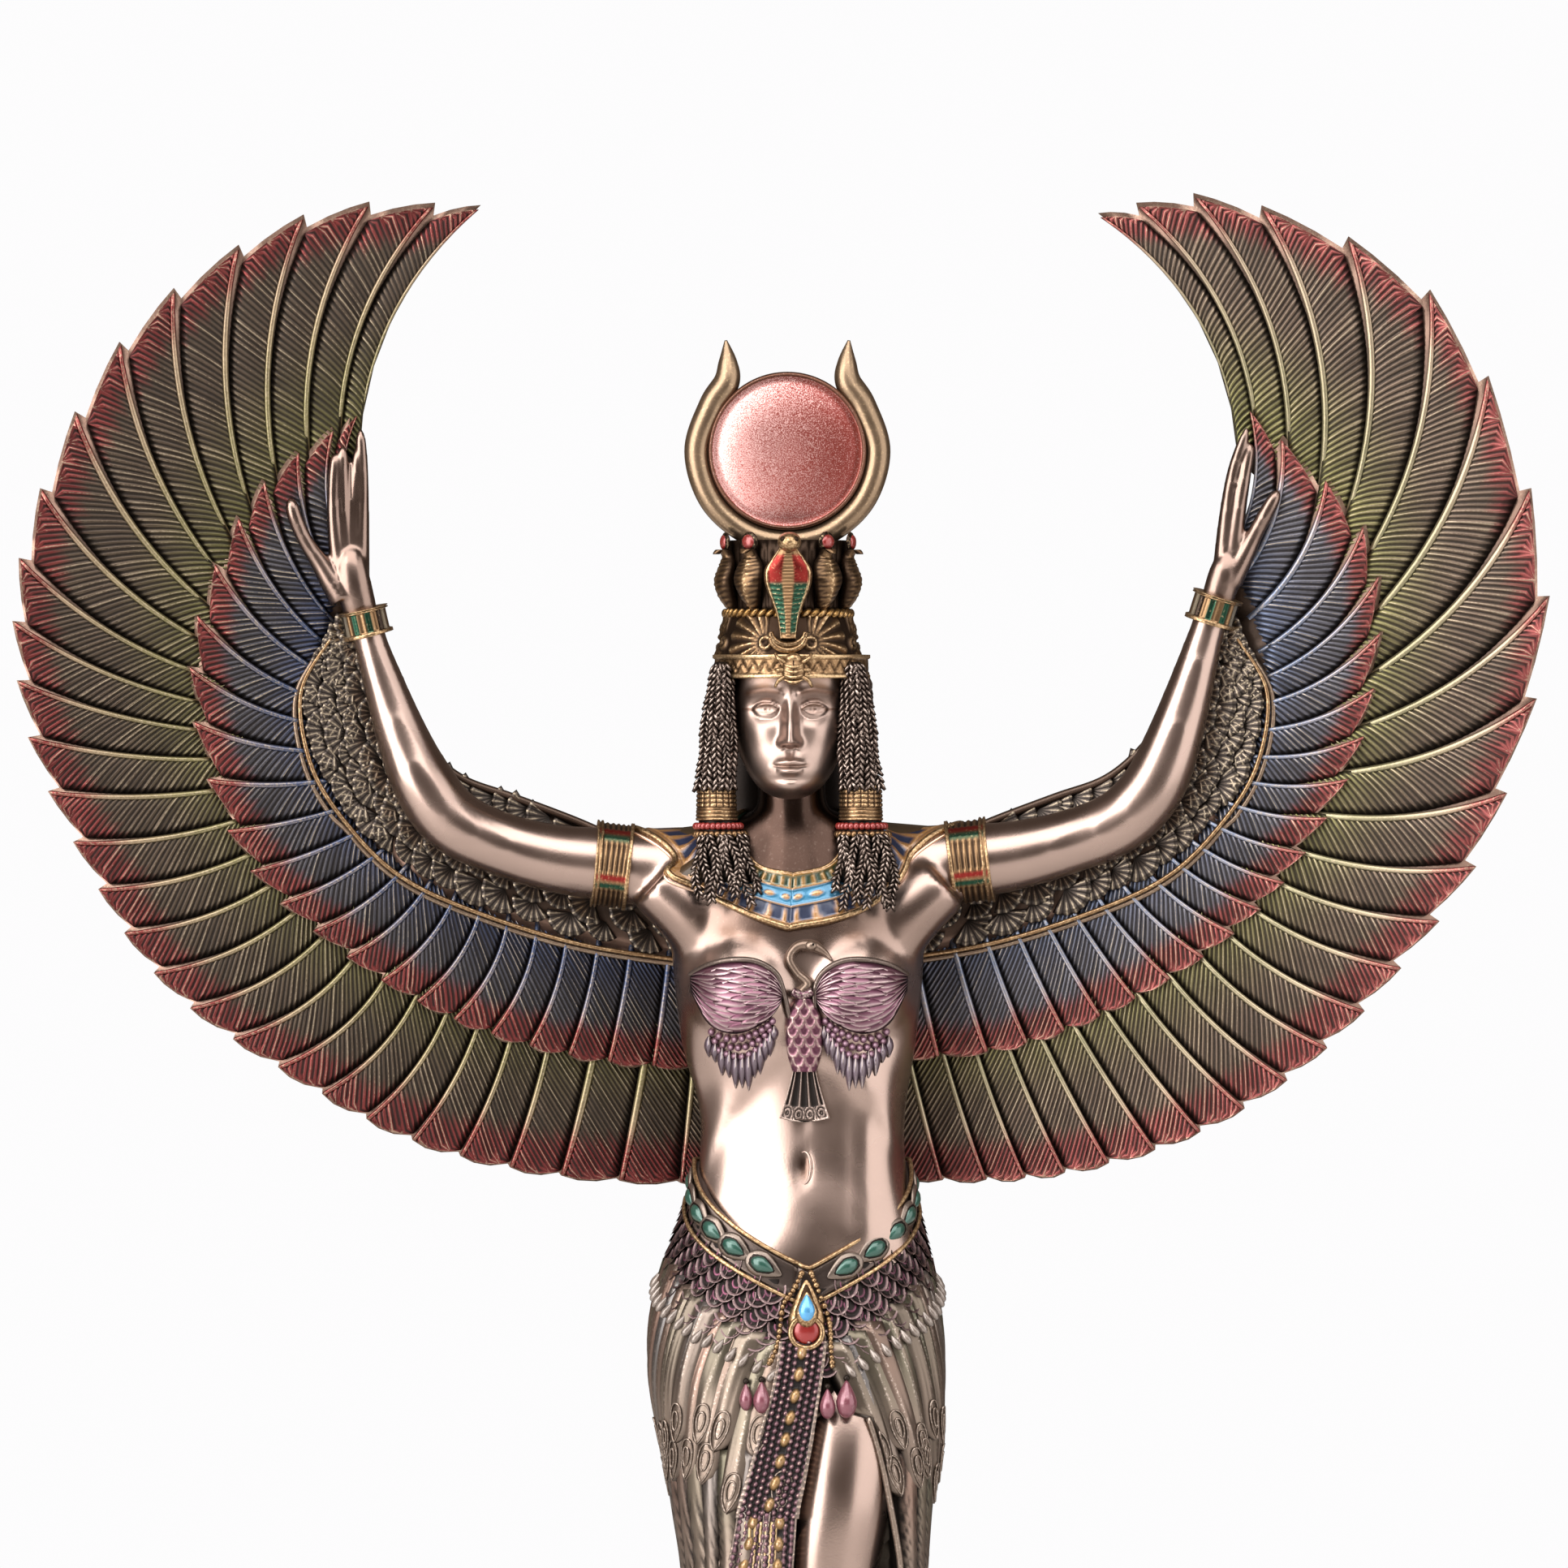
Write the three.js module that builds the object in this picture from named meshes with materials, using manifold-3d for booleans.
// Winged Isis, a cold-cast bronze statuette of a standing goddess with raised, feathered arms.
// Millimetres, +Z up, the figure faces -Y. The origin is the middle of the base's underside.
import * as THREE from "three";
import { mergeVertices } from "three/addons/utils/BufferGeometryUtils.js";
import Module from "manifold-3d";

const wasm = await Module();
wasm.setup();

// Driving sizes
const BASE_WIDTH = 100;
const BASE_DEPTH = 78;
const BASE_HEIGHT = 15;
const BASE_STEP = 3;
const HALF_SPAN = 114;
const WING_BACK = 11;
const WING_CUP = 20;
const WING_TOP_LEAN = 8;
const WING_TOP_FROM = 215;
const WING_TOP_TO = 306;
const WING_THICKNESS = 2.4;
const CHIN_Z = 216.6;
const CROWN_Z = 245.4;
const HEAD_X = 0.9;
const DISC_Z = 268.2;
const DISC_RADIUS = 11.8;
const BROW_BAND_Z = 236.4;

const FULL_TURN = 2 * Math.PI;
const vec = (x, y, z) => new THREE.Vector3(x, y, z);
const mix = THREE.MathUtils.lerp;

// Smooth curves through evenly spaced values
function smooth(values, t) {
  const last = values.length - 1;
  const place = THREE.MathUtils.clamp(t, 0, 1) * last;
  const i = Math.min(Math.floor(place), last - 1);
  const f = place - i;
  const at = (n) => values[THREE.MathUtils.clamp(n, 0, last)];
  const blend = (a, b, c, d) =>
    b + 0.5 * f * (c - a + f * (2 * a - 5 * b + 4 * c - d + f * (3 * (b - c) + d - a)));
  if (!Array.isArray(values[0])) return blend(at(i - 1), at(i), at(i + 1), at(i + 2));
  return values[0].map((_, n) => blend(at(i - 1)[n], at(i)[n], at(i + 1)[n], at(i + 2)[n]));
}

// A cylinder carried to new places. turn goes round its wall and along goes up it, both from 0 to 1,
// and out is 1 on the wall and 0 in the middle of an end.
function warpedCylinder(turns, steps, place) {
  const form = new THREE.CylinderGeometry(1, 1, 1, turns, steps);
  const at = form.getAttribute("position");
  for (let i = 0; i < at.count; i += 1) {
    const out = Math.hypot(at.getX(i), at.getZ(i)) > 0.5 ? 1 : 0;
    const angle = Math.atan2(at.getX(i), at.getZ(i)) / FULL_TURN;
    const turn = ((Math.round(angle * turns) + turns) % turns) / turns;
    const p = place(turn, at.getY(i) + 0.5, out);
    at.setXYZ(i, p.x, p.y, p.z);
  }
  return form;
}

// A limb or cord: round sections of the given radii across a path of points
function limb(points, radii, turns, steps) {
  const curve = new THREE.CatmullRomCurve3(points);
  return warpedCylinder(turns, steps, (turn, along, out) => {
    const centre = curve.getPoint(along);
    const ahead = curve.getTangent(along);
    const side = vec(0, 1, 0).cross(ahead).normalize();
    const up = ahead.clone().cross(side);
    const r = smooth(radii, along) * out;
    const angle = turn * FULL_TURN;
    return centre
      .addScaledVector(side, r * Math.cos(angle))
      .addScaledVector(up, r * Math.sin(angle));
  });
}

// A ball carried to new places from its unit vector
function warpedBall(around, rings, place) {
  const form = new THREE.SphereGeometry(1, around, rings);
  const at = form.getAttribute("position");
  for (let i = 0; i < at.count; i += 1) {
    const p = place(at.getX(i), at.getY(i), at.getZ(i));
    at.setXYZ(i, p.x, p.y, p.z);
  }
  return form;
}

function ellipsoid(centre, size, around = 8, rings = 6) {
  return warpedBall(around, rings, (x, y, z) =>
    vec(centre[0] + size[0] * x, centre[1] + size[1] * z, centre[2] + size[2] * y));
}

// Closed geometry as a solid facing out
function solid(geometry) {
  const bare = geometry.clone();
  bare.deleteAttribute("normal");
  bare.deleteAttribute("uv");
  const merged = mergeVertices(bare, 1e-4);
  const corners = [];
  const index = merged.index.array;
  for (let i = 0; i < index.length; i += 3) {
    const [a, b, c] = [index[i], index[i + 1], index[i + 2]];
    if (a !== b && b !== c && c !== a) corners.push(a, b, c);
  }
  const made = (triVerts) => new wasm.Manifold(new wasm.Mesh({
    numProp: 3,
    vertProperties: merged.getAttribute("position").array,
    triVerts,
  }));
  const first = made(new Uint32Array(corners));
  return first.volume() > 0 ? first : made(new Uint32Array(corners.reverse()));
}

// Torso and skirt: height, middle across, half width, depth in front and depth behind
const LEVELS = [
  [19, 2.0, 12.0, 9.0, 9.5],
  [32, 2.0, 11.6, 8.6, 9.5],
  [48, 2.2, 12.4, 9.4, 10.5],
  [64, 2.5, 13.4, 10.6, 11.0],
  [80, 2.7, 14.6, 12.0, 10.6],
  [92, 2.8, 16.0, 12.6, 11.2],
  [103, 2.9, 17.6, 12.8, 12.4],
  [112, 2.5, 18.9, 12.8, 13.4],
  [122, 2.3, 20.5, 12.6, 14.2],
  [132, 1.7, 21.8, 12.2, 14.6],
  [141, 1.6, 21.5, 11.6, 14.0],
  [149, 2.0, 19.4, 10.8, 12.6],
  [156, 2.5, 16.8, 10.0, 10.8],
  [163, 2.9, 14.8, 9.2, 9.2],
  [171, 3.3, 14.4, 9.0, 8.8],
  [180, 2.9, 16.3, 9.8, 9.8],
  [190, 2.7, 17.6, 10.4, 10.6],
  [199, 2.3, 18.2, 9.6, 10.8],
  [206, 1.9, 18.4, 7.8, 10.0],
  [211, 1.6, 14.5, 6.4, 8.4],
  [215, 1.6, 6.5, 5.6, 6.0],
];
const SLIT_TOP_Z = 126;
const SLIT_FROM = -0.01;
const SLIT_TO = 0.16;
const SKIRT_TOP_Z = 146;
const FEATHER_RIDGE = 0.5;
const SLIT_DEPTH = 1.6;

function levelAt(z) {
  let low = 0;
  let high = 1;
  for (let i = 0; i < 30; i += 1) {
    const middle = (low + high) / 2;
    if (smooth(LEVELS, middle)[0] < z) low = middle;
    else high = middle;
  }
  return smooth(LEVELS, low);
}

// A point of the figure's skin: turn 0 is the front, and turns grow towards +X
function skin(turn, level, lift = 0) {
  const [z, middle, width, front, behind] = level;
  const angle = turn * FULL_TURN;
  const depth = Math.cos(angle) > 0 ? front : behind;
  const across = Math.sign(Math.sin(angle)) * Math.abs(Math.sin(angle)) ** 0.9;
  return vec(middle + (width + lift) * across, -(depth + lift) * Math.cos(angle), z);
}

function inSlit(turn, z) {
  const signed = turn > 0.5 ? turn - 1 : turn;
  return z < SLIT_TOP_Z && signed > SLIT_FROM && signed < SLIT_TO;
}

function bodyForm() {
  const turns = 16;
  return warpedCylinder(turns, 20, (turn, along, out) => {
    const level = smooth(LEVELS, along);
    if (!out) return vec(level[1], 0, level[0]);
    const ridge = Math.round(turn * turns) % 2 ? FEATHER_RIDGE : 0;
    const skirt = level[0] < SKIRT_TOP_Z ? ridge : 0;
    return skin(turn, level, inSlit(turn, level[0]) ? -SLIT_DEPTH : skirt);
  });
}

// A band lying on the figure between two heights that follow the turn, thick above its skin
function bodyBand(lower, upper, thick, around) {
  const section = [[0, -1.2], [0, thick], [1, thick], [1, -1.2]];
  const ring = new THREE.TorusGeometry(10, 2, 4, around);
  const at = ring.getAttribute("position");
  for (let i = 0; i < at.count; i += 1) {
    const turn = Math.atan2(at.getX(i), -at.getY(i)) / FULL_TURN;
    const corner = Math.round(Math.atan2(at.getZ(i), Math.hypot(at.getX(i), at.getY(i)) - 10)
      / FULL_TURN * 4 + 4) % 4;
    const [rise, lift] = section[corner];
    const p = skin((turn + 1) % 1, levelAt(mix(lower(turn), upper(turn), rise)), lift);
    at.setXYZ(i, p.x, p.y, p.z);
  }
  return ring;
}

// A strip hanging on the figure's front: its middle and half width at even steps down from top to end
function frontStrip(top, end, middles, halves, thick) {
  return warpedCylinder(4, 5, (turn, along, out) => {
    const corner = Math.round(turn * 4) % 4;
    const z = mix(end, top, along);
    const level = levelAt(z);
    const side = corner < 2 ? -1 : 1;
    const x = smooth(middles, 1 - along) + (out ? side * smooth(halves, 1 - along) : 0);
    const across = THREE.MathUtils.clamp((x - level[1]) / level[2], -0.95, 0.95);
    const face = -level[3] * Math.sqrt(1 - across ** 2);
    const inner = corner === 1 || corner === 2;
    const lift = out ? (inner ? 1.5 : -thick) : 0;
    return vec(x, face + lift, z);
  });
}

// Wings: lines of [outward, height] from the inner top feather round to the body. tips ends the primaries
// and meets is where they come out from under the secondaries, which run from roots to coverts.
const WINGS = {
  left: {
    side: -1,
    primaries: 29,
    secondaries: 24,
    tips: [[44.8, 304.6], [70, 303.4], [96.5, 285.9], [112, 255.2], [112.2, 229.2], [103, 206.9],
      [91.1, 188.9], [72.9, 175.9], [53.7, 165.7], [32.3, 160.8], [9, 159.6]],
    meets: [[63.4, 273.7], [82.3, 258.5], [88, 239.8], [87.1, 222.1], [77.4, 203.8], [60.8, 188.6],
      [39.4, 180.1], [9, 176.8]],
    coverts: [[63.1, 274.2], [78.8, 262.1], [88.1, 237.5], [81.6, 210.2], [66.2, 194.4], [48.2, 183.7],
      [28.7, 178.1], [9, 176.5]],
    roots: [[62.8, 253.6], [67.1, 242.3], [73.3, 229.8], [67.3, 214.6], [58.4, 204.6], [46.2, 197.2],
      [27.5, 192.5], [9, 191]],
    bend: [0.11, 0.08, 0.08, 0.04, 0.09, 0.11, 0.03, 0],
  },
  right: {
    side: 1,
    primaries: 26,
    secondaries: 23,
    tips: [[46.4, 303.4], [66.2, 305.6], [97.1, 289.8], [112.6, 249.7], [104.9, 212.9], [91.2, 191.8],
      [76.9, 177], [60.4, 166.9], [42.9, 161.6], [27.6, 160.2], [11, 160.7]],
    meets: [[69, 274.8], [86.3, 259.1], [87.4, 230], [76.9, 208], [63.7, 193.8], [44.8, 183],
      [27.1, 178.4], [11, 177.8]],
    coverts: [[69, 274.8], [86.9, 255.4], [86.8, 229], [77.8, 209.5], [66.1, 196.3], [49.9, 186],
      [32, 179.5], [11, 178]],
    roots: [[63.8, 252.4], [72, 237.4], [71.2, 225.5], [66.7, 214.2], [56.5, 205.6], [43.3, 198.8],
      [29.3, 194], [11, 191]],
    bend: [0.12, 0.10, 0.09, 0.07, 0.07, 0.02, 0.02, 0],
  },
};
const CORD = [[67, 240.5], [71.4, 232.5], [70, 222], [65, 213.5], [57, 205.5], [45.5, 200], [29, 195],
  [8, 192]];
const PAD_INNER = [[61.5, 243.8], [58.5, 233], [54, 225.5], [48, 220], [40, 217], [31, 213.6], [20, 209],
  [6, 205]];
// How far each row's roots reach in under the row above, as a share of the way to the pad
const PRIMARY_ROOTS = 0.25;
const SECONDARY_ROOTS = 0.4;
const NOTCH = [2.2, 2.2, 2.1, 2.1, 1.5, 1.0, 0.7, 0.4];
const LOBE = [0.4, 0.4, 0.3, 0.3, 0.6, 0.9, 0.9, 0.6];

// The middle surface of the wings, a shallow bowl open to the front
function wingY(out, z) {
  const lean = Math.max(0, (z - WING_TOP_FROM) / (WING_TOP_TO - WING_TOP_FROM));
  return WING_BACK - WING_CUP * (out / HALF_SPAN) ** 2 - WING_TOP_LEAN * lean ** 2;
}

// One overlapping row of feathers as a closed plate. Each feather has its quill, the far edge of its vane
// and, from the feather number in rounded on, a middle that rounds its tip.
function featherRow(row) {
  const { side, count, tips, roots, bend, rounded, rows, lift, step, back } = row;
  const columns = [];
  for (let feather = 0; feather < count; feather += 1) {
    const places = feather < rounded ? [0, 0.94] : [0, 0.5, 0.94];
    columns.push(...places.map((across) => ({ feather, across })));
  }
  columns.push({ feather: count - 1, across: 1 });
  const last = columns.length - 1;
  return warpedCylinder(2 * rows, last, (turn, along, rim) => {
    const column = Math.round(along * last);
    const { feather, across } = columns[column];
    const u = (feather + across) / count;
    const here = Math.round(turn * 2 * rows) % (2 * rows);
    const behind = here >= rows;
    const s = rim === 0 ? 0.5 : (behind ? 2 * rows - 1 - here : here) / (rows - 1);
    const root = smooth(roots, u);
    const start = smooth(tips, feather / count);
    const next = smooth(tips, Math.min(1, (feather + 1) / count));
    const tip = [0, 1].map((n) => mix(start[n], next[n], across));
    const ray = vec(tip[0] - root[0], 0, tip[1] - root[1]);
    const length = ray.length();
    ray.normalize();
    const grow = smooth(LOBE, u) * 4 * across * (1 - across) - smooth(NOTCH, u) * across;
    const reach = s * (length + grow);
    const sag = smooth(bend, u) * length * 4 * s * (1 - s);
    const out = root[0] + ray.x * reach + ray.z * sag;
    const z = root[1] + ray.z * reach - ray.x * sag;
    const edge = column === 0 || column === last;
    const thick = edge ? 0 : 1;
    const face = lift + step * (1 - across);
    return vec(side * out, wingY(out, z) + thick * (behind ? back : -face), z);
  });
}

function towardPad(line, share) {
  return line.map((stop, i) => {
    const inner = smooth(PAD_INNER, i / (line.length - 1));
    return stop.map((value, n) => mix(value, inner[n], share));
  });
}

function wingForms(wing) {
  return [
    featherRow({
      ...wing, count: wing.primaries, roots: towardPad(wing.meets, PRIMARY_ROOTS),
      rounded: 16, rows: 3, lift: 0.6, step: 1.0, back: WING_THICKNESS / 2,
    }),
    featherRow({
      ...wing, count: wing.secondaries, tips: wing.coverts, roots: towardPad(wing.roots, SECONDARY_ROOTS),
      rounded: Infinity, rows: 2, lift: 1.8, step: 1.0, back: 0.4,
    }),
    featherRow({
      ...wing, count: 7, tips: CORD, roots: PAD_INNER, bend: [0, 0],
      rounded: Infinity, rows: 2, lift: 2.6, step: 0.4, back: WING_THICKNESS,
    }),
  ];
}

// Arms: outward, height and radius from the shoulder to the wrist
const ARMS = {
  left: {
    side: -1,
    line: [[13, 206, 6.6], [26.3, 207.1, 5.5], [34, 208, 5.1], [42.1, 210.2, 4.8], [49.2, 213.7, 4.8],
      [53.5, 219.5, 4.7], [56.2, 225.5, 4.0], [58.6, 232.2, 3.3], [61, 239.6, 2.6], [62.5, 245.8, 2.5]],
    cuffs: [{ at: 0.155, long: 6, radius: 6.0 }, { at: 0.945, long: 4.2, radius: 3.4 }],
    palm: [[62.5, 245.8, 2.5], [63.4, 250, 3.0], [64.2, 255, 3.3], [64, 260, 2.6]],
    fingers: [
      [[65.4, 257, 1.7], [65.6, 263, 1.5], [65.6, 269, 0.8]],
      [[62.8, 257, 1.6], [62.5, 264, 1.4], [62.6, 271.6, 0.8]],
      [[65, 251, 1.8], [68.6, 254.8, 1.4], [72.4, 260.8, 0.9]],
    ],
  },
  right: {
    side: 1,
    line: [[15, 206.2, 6.6], [25.5, 207.3, 5.7], [34, 208.4, 5.2], [42, 210.4, 4.8], [49, 213.1, 4.7],
      [53.6, 217.2, 4.8], [56.4, 222.4, 4.5], [59.4, 231, 3.8], [62.4, 241.2, 2.7], [64.6, 248, 2.7]],
    cuffs: [{ at: 0.244, long: 6, radius: 5.9 }, { at: 0.94, long: 4.2, radius: 3.5 }],
    palm: [[64.6, 248, 2.7], [65.2, 252, 2.9], [65.6, 257, 2.5], [66.4, 262, 1.8]],
    fingers: [
      [[66.0, 260, 1.7], [67.2, 266, 1.3], [68.6, 271.6, 0.6]],
      [[66.6, 251, 1.8], [69.6, 256, 1.4], [72.8, 261.6, 0.9]],
    ],
  },
};
const ARM_SINK = 3.2;

function armPoint(side, [out, z, radius]) {
  return vec(side * out, wingY(out, z) - ARM_SINK - 0.7 * radius, z);
}

function armForms(arm) {
  const path = (line) => line.map((stop) => armPoint(arm.side, stop));
  const radii = (line) => line.map((stop) => stop[2]);
  const tube = (line, turns, steps) => limb(path(line), radii(line), turns, steps);
  const curve = new THREE.CatmullRomCurve3(path(arm.line));
  const cuffs = arm.cuffs.map(({ at, long, radius }) => {
    const centre = curve.getPoint(at);
    const ahead = curve.getTangent(at);
    const ends = [-0.5, 0.5].map((f) => centre.clone().addScaledVector(ahead, f * long));
    return limb([ends[0], centre, ends[1]], [radius, radius], 8, 1);
  });
  return [
    tube(arm.line, 8, 9),
    tube(arm.palm, 6, 3),
    ...arm.fingers.map((line) => tube(line, 5, 3)),
    ...cuffs,
  ];
}

// Head: a plain oval with brow, nose and chin, under cap, wig and crown
const HEAD_MIDDLE_Z = (CHIN_Z + CROWN_Z) / 2;
const HEAD_HALF_HEIGHT = (CROWN_Z - CHIN_Z) / 2;
const HEAD_HALF_WIDTH = 8.9;
const HEAD_Y = -1;
const FACE_DEPTH = 9.4;
const NAPE_DEPTH = 11;
const NOSE_DEPTH = 1.5;

function headForm() {
  return warpedBall(12, 10, (x, y, z) => {
    const jaw = y < 0 ? 1 - 0.42 * y * y : 1;
    const nose = Math.exp(-((x / 0.13) ** 2) - ((y + 0.1) / 0.22) ** 2);
    const depth = z > 0 ? FACE_DEPTH * z + NOSE_DEPTH * nose : NAPE_DEPTH * z;
    return vec(HEAD_X + HEAD_HALF_WIDTH * x * jaw, HEAD_Y - depth, HEAD_MIDDLE_Z + HEAD_HALF_HEIGHT * y);
  });
}

// Wig: locks in front of each shoulder and a mass behind, each ridged by its braids
const LOCKS = [
  { inner: -6.6, outer: -12.4, footInner: -2.8, footOuter: -14.2 },
  { inner: 8.2, outer: 14.2, footInner: 7, footOuter: 17.2 },
];
const LOCK_FOOT_Z = 200.2;
const LOCK_TOP_Z = 236;
const LOCK_DEPTH = 4.2;
const BRAIDS = 10;
const BRAID_RIDGE = 0.12;
const WIG_FOOT_Z = 196;
const WIG_TOP_Z = 238;
const WIG_X = 1.2;
const WIG_DEPTH = 7;

// A braided mass round a middle point, every second edge of it standing out
function braided(turn, out, middle, half, depth, ridge) {
  const angle = turn * FULL_TURN;
  const braid = out * (Math.round(turn * BRAIDS) % 2 ? 1 + ridge : 1);
  return vec(middle.x + half * braid * Math.sin(angle), middle.y - depth * braid * Math.cos(angle), middle.z);
}

function lockForm(lock) {
  return warpedCylinder(BRAIDS, 4, (turn, along, out) => {
    const flare = (1 - along) ** 2;
    const inner = mix(lock.inner, lock.footInner, flare);
    const outer = mix(lock.outer, lock.footOuter, flare) * (along > 0.7 ? 0.9 : 1);
    const middle = vec((inner + outer) / 2, mix(-7.5, -4, along), mix(LOCK_FOOT_Z, LOCK_TOP_Z, along));
    return braided(turn, out, middle, Math.abs(outer - inner) / 2, LOCK_DEPTH, BRAID_RIDGE);
  });
}

function wigBackForm() {
  return warpedCylinder(BRAIDS, 4, (turn, along, out) => {
    const middle = vec(WIG_X, mix(8.5, 4.2, along), mix(WIG_FOOT_Z, WIG_TOP_Z, along));
    return braided(turn, out, middle, mix(13.5, 10.6, along), WIG_DEPTH, BRAID_RIDGE / 2);
  });
}

// Crown: brow band, vulture cap, ring of rearing cobras, uraeus, horns and sun disc
function turnedForm(profile, around, centreX) {
  const form = new THREE.LatheGeometry(profile.map(([r, z]) => new THREE.Vector2(r, z)), around);
  form.rotateX(Math.PI / 2);
  form.translate(centreX, 0, 0);
  return form;
}

const COBRAS = 10;
const CROWN_X = 0.6;
const CAP_FROM_Z = 236;
const CAP_TO_Z = 244.2;
const CUP_FROM_Z = 243.5;
const CUP_TO_Z = 255.4;
const CUP_RADII = [7.9, 8.2, 8.6, 8.7, 8.6, 8.4];
const HOODS = [0, 1.2, 1.9, 1.2, 0.6, 1.4];

function crownForms() {
  const band = turnedForm([[0, BROW_BAND_Z - 1.8], [11.5, BROW_BAND_Z - 1.8], [11.7, BROW_BAND_Z + 1.6],
    [0, BROW_BAND_Z + 1.6]], 16, HEAD_X + 0.2);
  const cap = turnedForm([[0, CAP_FROM_Z], [10.9, CAP_FROM_Z], [10.4, 240.5], [9.4, CAP_TO_Z], [0, CAP_TO_Z]],
    16, CROWN_X);
  const cup = warpedCylinder(2 * COBRAS, 4, (turn, along, out) => {
    const hood = Math.round(turn * 2 * COBRAS) % 2 ? smooth(HOODS, along) : 0;
    const r = out * (smooth(CUP_RADII, along) + hood);
    const angle = turn * FULL_TURN;
    return vec(CROWN_X + r * Math.sin(angle), -r * Math.cos(angle), mix(CUP_FROM_Z, CUP_TO_Z, along));
  });
  return [band, cap, cup];
}

// The cobra at the brow rears up the middle of the cap, above a winged beetle on the band
const URAEUS_Y = -10.2;
const URAEUS_FROM_Z = 240.5;
const URAEUS_TO_Z = 254;

function uraeusForms() {
  return [
    warpedCylinder(6, 4, (turn, along, out) => {
      const wide = smooth([1.6, 1.5, 1.9, 2.9, 3.5, 2.2], along);
      const angle = turn * FULL_TURN;
      const y = URAEUS_Y - 1 - out * 1.5 * Math.cos(angle) - along * 0.8;
      return vec(CROWN_X + out * wide * Math.sin(angle), y, mix(URAEUS_FROM_Z, URAEUS_TO_Z, along));
    }),
    ellipsoid([CROWN_X, URAEUS_Y - 2.2, 255], [1.6, 2.2, 1.6], 6, 5),
    ellipsoid([HEAD_X + 0.4, -12, BROW_BAND_Z - 0.4], [2.6, 1.6, 2.4], 6, 5),
  ];
}

const HORN_X = 0.5;
const HORN = [[-8.6, 284.5], [-8.2, 281.5], [-8.6, 278], [-12.2, 274.4], [-13.8, 268.2], [-11.2, 260.6],
  [-5.6, 256.6], [0, 255.6]];
const HORN_RADII = [0.3, 1.0, 1.5, 1.7, 1.7, 1.7, 1.7, 1.5, 1.0, 0.3];

function hornForms() {
  const mirrored = HORN.slice(0, -1).reverse().map(([x, z]) => [-x, z]);
  const points = [...HORN, ...mirrored].map(([x, z]) => vec(x + HORN_X, 0, z));
  const dome = [[0, -3.2], [8, -2.2], [DISC_RADIUS, -0.8], [DISC_RADIUS, 0.8], [8, 2.2], [0, 3.2]];
  const disc = new THREE.LatheGeometry(dome.map(([r, y]) => new THREE.Vector2(r, y)), 20);
  disc.translate(HORN_X, 0, DISC_Z);
  return [limb(points, HORN_RADII, 6, 20), disc];
}

// Breasts, with the pectoral's spread wings over them, and the bird between
function chestForms() {
  return [
    ellipsoid([-6.8, -7.2, 187.6], [6.6, 6.0, 5.8], 8, 6),
    ellipsoid([12.0, -7.2, 187.6], [6.6, 6.0, 5.8], 8, 6),
    ellipsoid([2.8, -9.6, 181.5], [3.0, 2.0, 6.2], 8, 6),
    ellipsoid([3.2, -9.4, 172.4], [3.6, 1.2, 4.2], 8, 4),
  ];
}

const BELT_BACK_Z = 163.5;
const BELT_FRONT_Z = 147.6;
const BELT_WIDE = 5.6;
const COLLAR_FRONT_Z = 198;
const COLLAR_SIDE_Z = 205;
const COLLAR_TOP_Z = 213;

function dressForms() {
  const belt = (turn) => BELT_FRONT_Z + (BELT_BACK_Z - BELT_FRONT_Z)
    * Math.min(1, Math.abs(turn - 0.01) / 0.26) ** 0.9;
  const collar = (turn) => mix(COLLAR_FRONT_Z, COLLAR_SIDE_Z, Math.min(1, Math.abs(turn) / 0.22) ** 2);
  return [
    bodyBand((turn) => belt(turn) - BELT_WIDE, belt, 0.9, 16),
    bodyBand(collar, () => COLLAR_TOP_Z, 0.8, 12),
    frontStrip(137, 104, [2.8, 1.4, -0.6, -3.2, -6], [3.4, 3.6, 4.2, 4.6, 4.4], 1.0),
    frontStrip(105, 62, [-8.2, -9, -8.6, -7.6], [1.6, 1.7, 1.8, 2.0], 1.0),
    frontStrip(105, 54, [-1.6, -1.2, -0.8, -0.4], [2.2, 2.2, 2.3, 2.6], 1.0),
    ellipsoid([3.2, -12.4, 140.4], [2.8, 1.4, 4.8], 6, 4),
  ];
}

// Feet on the base, the bare one a little ahead
const FOOT_HALF_LENGTH = 17;
const FOOT_Z = BASE_HEIGHT + 1;
const SOLE = 1.2;

function footForm(x, y) {
  return warpedBall(8, 6, (a, b, c) => {
    const high = c < 0 ? 3 + 1.2 * c : 3 + 4 * c * c;
    return vec(x + a * (4.6 - 0.8 * c), y + FOOT_HALF_LENGTH * c, FOOT_Z + Math.max(-SOLE, b) * high);
  });
}

function footForms() {
  return [
    footForm(-4.4, -8),
    footForm(8.6, -12),
    limb([vec(-4.2, 1, BASE_HEIGHT), vec(-4, 0, 24)], [3.6, 4.4], 8, 1),
    limb([vec(8.8, -3, BASE_HEIGHT), vec(8.4, -2, 24)], [3.6, 4.4], 8, 1),
  ];
}

// Base: a low oblong block with a stepped, rounded top edge
const BASE_CORNER = 5;
const PLINTH_HEIGHT = 5;

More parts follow.
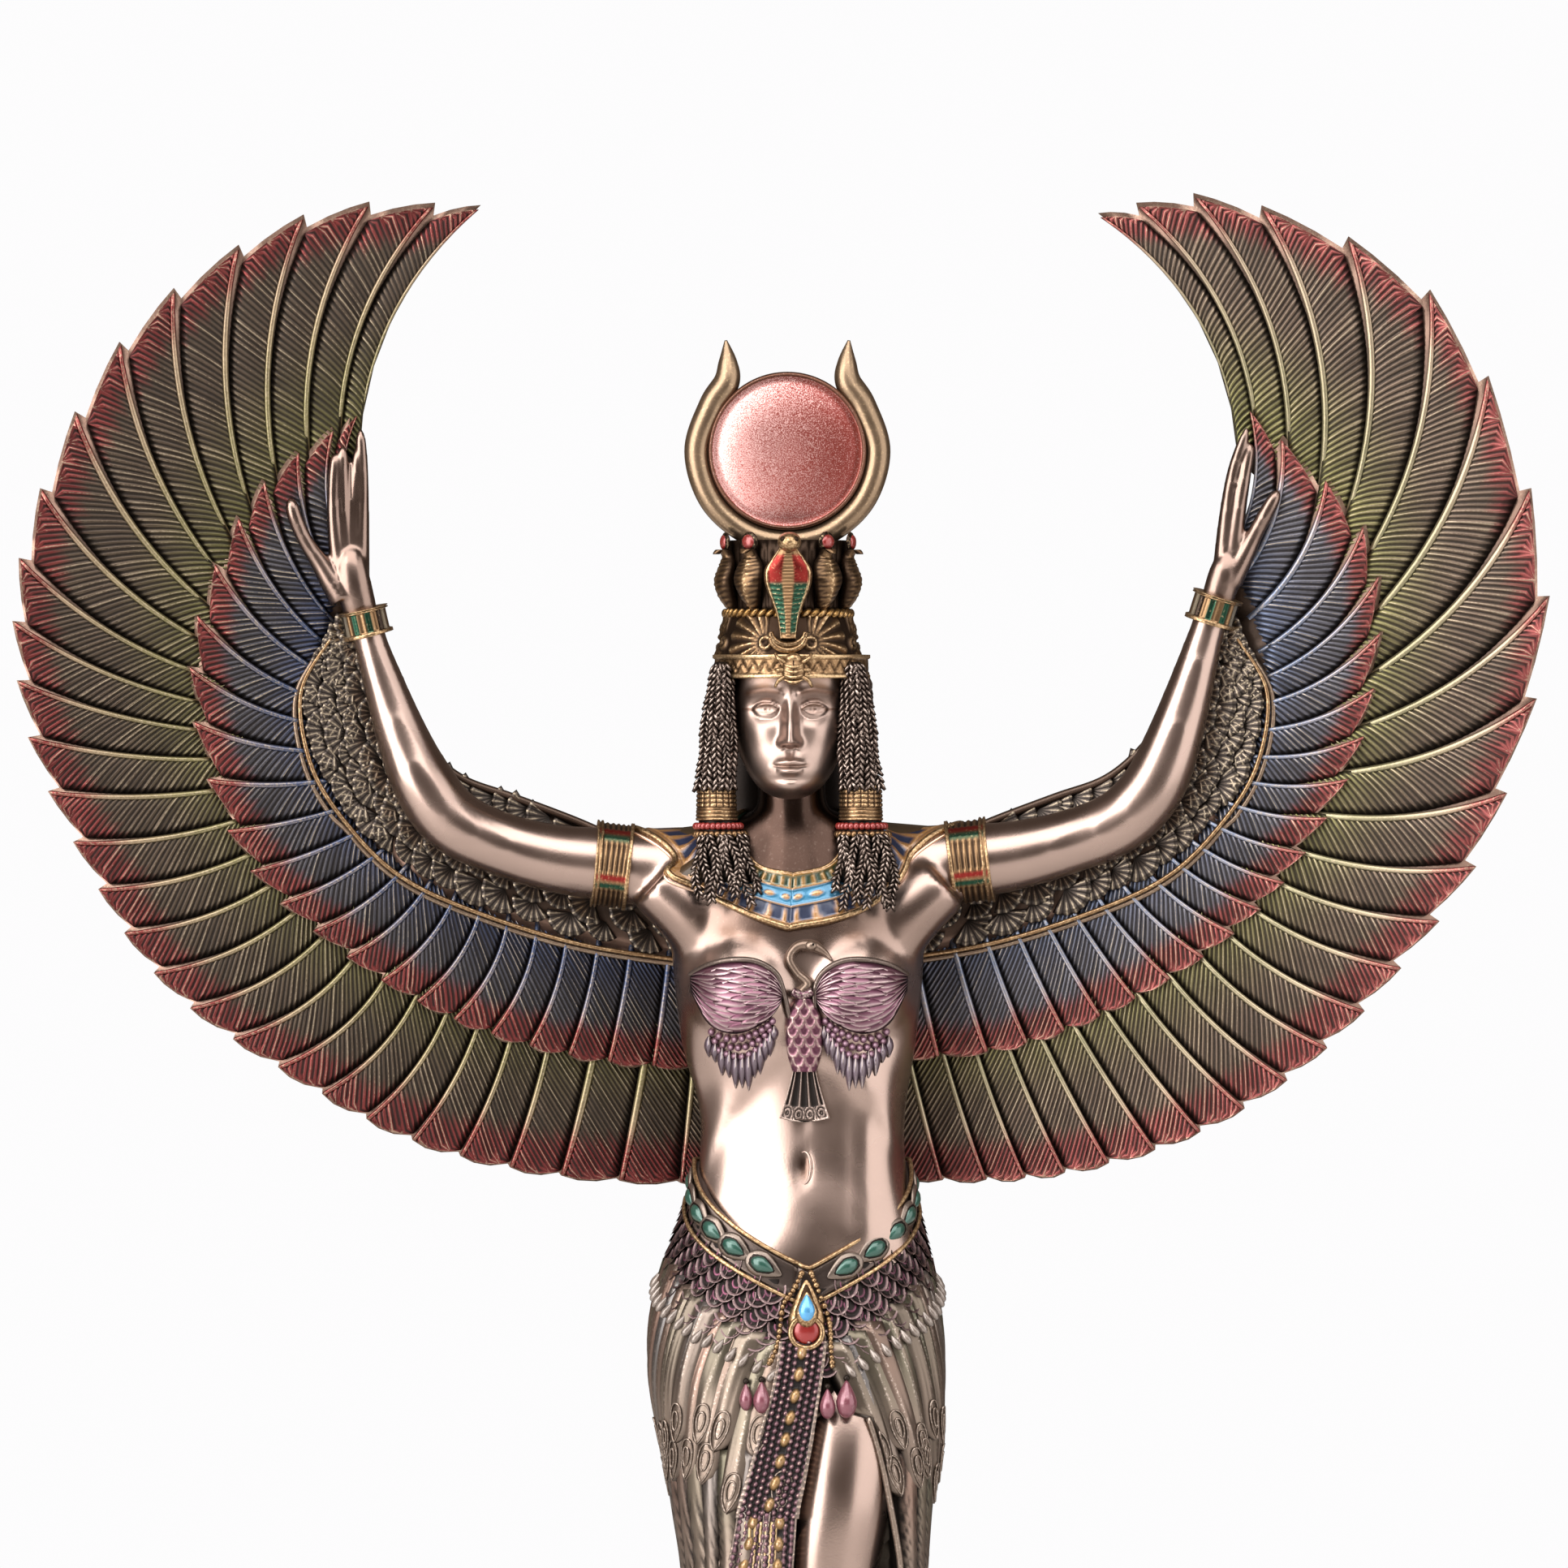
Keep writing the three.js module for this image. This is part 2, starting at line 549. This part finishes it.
function slab(width, depth, from, to, bevel) {
  const outline = new THREE.Shape();
  const [w, d, r] = [width / 2 - bevel, depth / 2 - bevel, BASE_CORNER];
  outline.moveTo(-w + r, -d);
  outline.lineTo(w - r, -d);
  outline.absarc(w - r, -d + r, r, -Math.PI / 2, 0);
  outline.absarc(w - r, d - r, r, 0, Math.PI / 2);
  outline.absarc(-w + r, d - r, r, Math.PI / 2, Math.PI);
  outline.absarc(-w + r, -d + r, r, Math.PI, 1.5 * Math.PI);
  const form = new THREE.ExtrudeGeometry(outline, {
    depth: to - from - 2 * bevel, bevelEnabled: true, bevelThickness: bevel, bevelSize: bevel,
    bevelSegments: 1, curveSegments: 1,
  });
  form.translate(0, 0, from + bevel);
  return form;
}

function baseForms() {
  return [
    slab(BASE_WIDTH, BASE_DEPTH, 0, PLINTH_HEIGHT, 0.8),
    slab(BASE_WIDTH - 2 * BASE_STEP, BASE_DEPTH - 2 * BASE_STEP, PLINTH_HEIGHT - 1, BASE_HEIGHT, 1),
  ];
}

function neckForm() {
  return limb([vec(1.5, -0.5, 208), vec(1.4, -1.5, 214), vec(1.1, -2, 222)], [6.2, 5.2, 5.4], 10, 3);
}

const forms = [
  bodyForm(), headForm(), ...LOCKS.map(lockForm), wigBackForm(), neckForm(),
  ...chestForms(), ...dressForms(), ...footForms(), ...baseForms(),
  ...wingForms(WINGS.left), ...wingForms(WINGS.right), ...armForms(ARMS.left), ...armForms(ARMS.right),
  ...crownForms(), ...uraeusForms(), ...hornForms(),
];

// The whole statue is one casting
const casting = forms.map(solid).reduce((whole, piece) => whole.add(piece)).getMesh();
const castingForm = new THREE.BufferGeometry();
castingForm.setAttribute("position", new THREE.BufferAttribute(new Float32Array(casting.vertProperties), 3));
castingForm.setIndex(new THREE.BufferAttribute(new Uint32Array(casting.triVerts), 1));
castingForm.computeVertexNormals();

const bronze = new THREE.MeshStandardMaterial({ color: 0x7a5f4c, roughness: 0.38, metalness: 0.9 });
const statue = new THREE.Mesh(castingForm, bronze);
statue.name = "isis_statue";

const part = new THREE.Group();
part.add(statue);

export default part;
